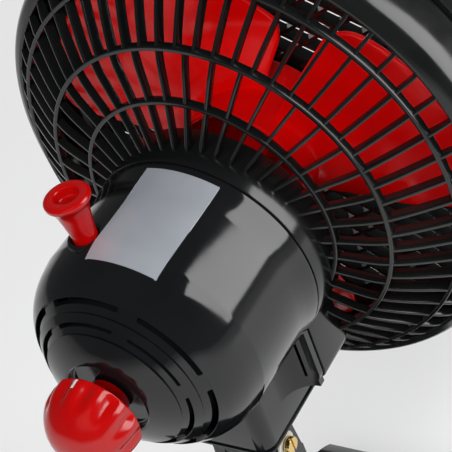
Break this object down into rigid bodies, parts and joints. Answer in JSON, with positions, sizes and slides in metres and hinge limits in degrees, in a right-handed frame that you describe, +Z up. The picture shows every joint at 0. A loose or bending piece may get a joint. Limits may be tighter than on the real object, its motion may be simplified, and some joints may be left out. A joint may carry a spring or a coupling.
{
  "type": "clip fan",
  "caption": "Small oscillating clip fan: a spring clamp that also stands, a short post, a tilting and swivelling motor head, and a round cage with a red impeller.",
  "frame": {"origin": "on the table plane, below the middle of the whole fan", "axes": "+Z up, the fan blows toward -Y, +X is the right hand of someone looking along +Y, from in front of the grille"},
  "size_m": [0.2068, 0.1706, 0.3264],
  "materials": {
    "gloss_black": "glossy black ABS",
    "satin_black": "satin black nylon",
    "gloss_red": "glossy red plastic",
    "steel": "zinc-plated steel",
    "iron": "dark steel laminations",
    "copper": "enamelled copper wire",
    "brass": "bright brass",
    "rubber": "black rubber",
    "nylon": "natural nylon"
  },
  "bodies": {
    "clamp_base": {"base_jaw": "gloss_black", "foot_front_left": "rubber", "foot_front_right": "rubber", "foot_rear_left": "rubber", "foot_rear_right": "rubber", "lower_grip_pad": "rubber", "clamp_pin": "steel", "clamp_spring": "steel"},
    "upper_clamp": {"upper_jaw": "gloss_black", "upper_grip_pad": "rubber", "post": "gloss_black", "tilt_screw": "brass", "tilt_washer": "nylon", "tilt_nut": "steel"},
    "tilt_neck": {"tilt_block": "satin_black", "pivot_arm": "steel"},
    "swing_link": {"oscillation_link": "steel"},
    "head": {"rear_guard": "gloss_black", "front_grille": "gloss_black", "rear_shell": "gloss_black", "stator": "iron", "coil_left": "copper", "coil_right": "copper", "front_bearing": "brass", "rear_bearing": "brass", "front_bracket": "iron", "gear_case": "satin_black", "speed_switch": "satin_black"},
    "speed_dial": {"speed_knob": "gloss_red"},
    "swing_button": {"pull_knob": "gloss_red"},
    "spindle": {"clutch_spindle": "steel"},
    "fan": {"motor_shaft": "steel", "rotor": "iron", "impeller": "gloss_red"}
  },
  "joints": [
    {"name": "clamp_open", "type": "hinge", "parent": "clamp_base", "child": "upper_clamp", "pos_m": [0, 0.03565, 0.036], "axis": [-1, 0, 0], "range_deg": [0, 24], "stiffness_Nm_per_rad": 6, "springref_deg": -20.05, "deforming": ["clamp_spring"]},
    {"name": "head_tilt", "type": "hinge", "parent": "upper_clamp", "child": "tilt_neck", "pos_m": [0, 0.00565, 0.128], "axis": [-1, 0, 0], "range_deg": [-12, 30]},
    {"name": "head_swing", "type": "hinge", "parent": "tilt_neck", "child": "head", "pos_m": [0, 0.00565, 0.142], "axis": [0, 0, 1], "range_deg": [-40, 40]},
    {"name": "link_swing", "type": "hinge", "parent": "tilt_neck", "child": "swing_link", "pos_m": [-0.01067, 0.01115, 0.1818], "axis": [0, 0, 1], "range_deg": [-34, 34]},
    {"name": "speed_turn", "type": "hinge", "parent": "head", "child": "speed_dial", "pos_m": [0, 0.06605, 0.2108], "axis": [0, 1, 0], "range_deg": [0, 120]},
    {"name": "swing_pull", "type": "slide", "parent": "head", "child": "swing_button", "axis": [0, 0, 1], "range_m": [0, 0.005]},
    {"name": "spindle_turn", "type": "hinge", "parent": "head", "child": "spindle", "pos_m": [0.0116, 0.02815, 0.223], "axis": [0, 0, 1], "continuous": true},
    {"name": "fan_spin", "type": "hinge", "parent": "head", "child": "fan", "pos_m": [0, 0.00565, 0.223], "axis": [0, 1, 0], "continuous": true}
  ],
  "couplings": [
    {"joint": "link_swing", "follows": "head_swing", "ratio": 0.85},
    {"joint": "spindle_turn", "follows": "fan_spin", "ratio": 0.0417}
  ]
}
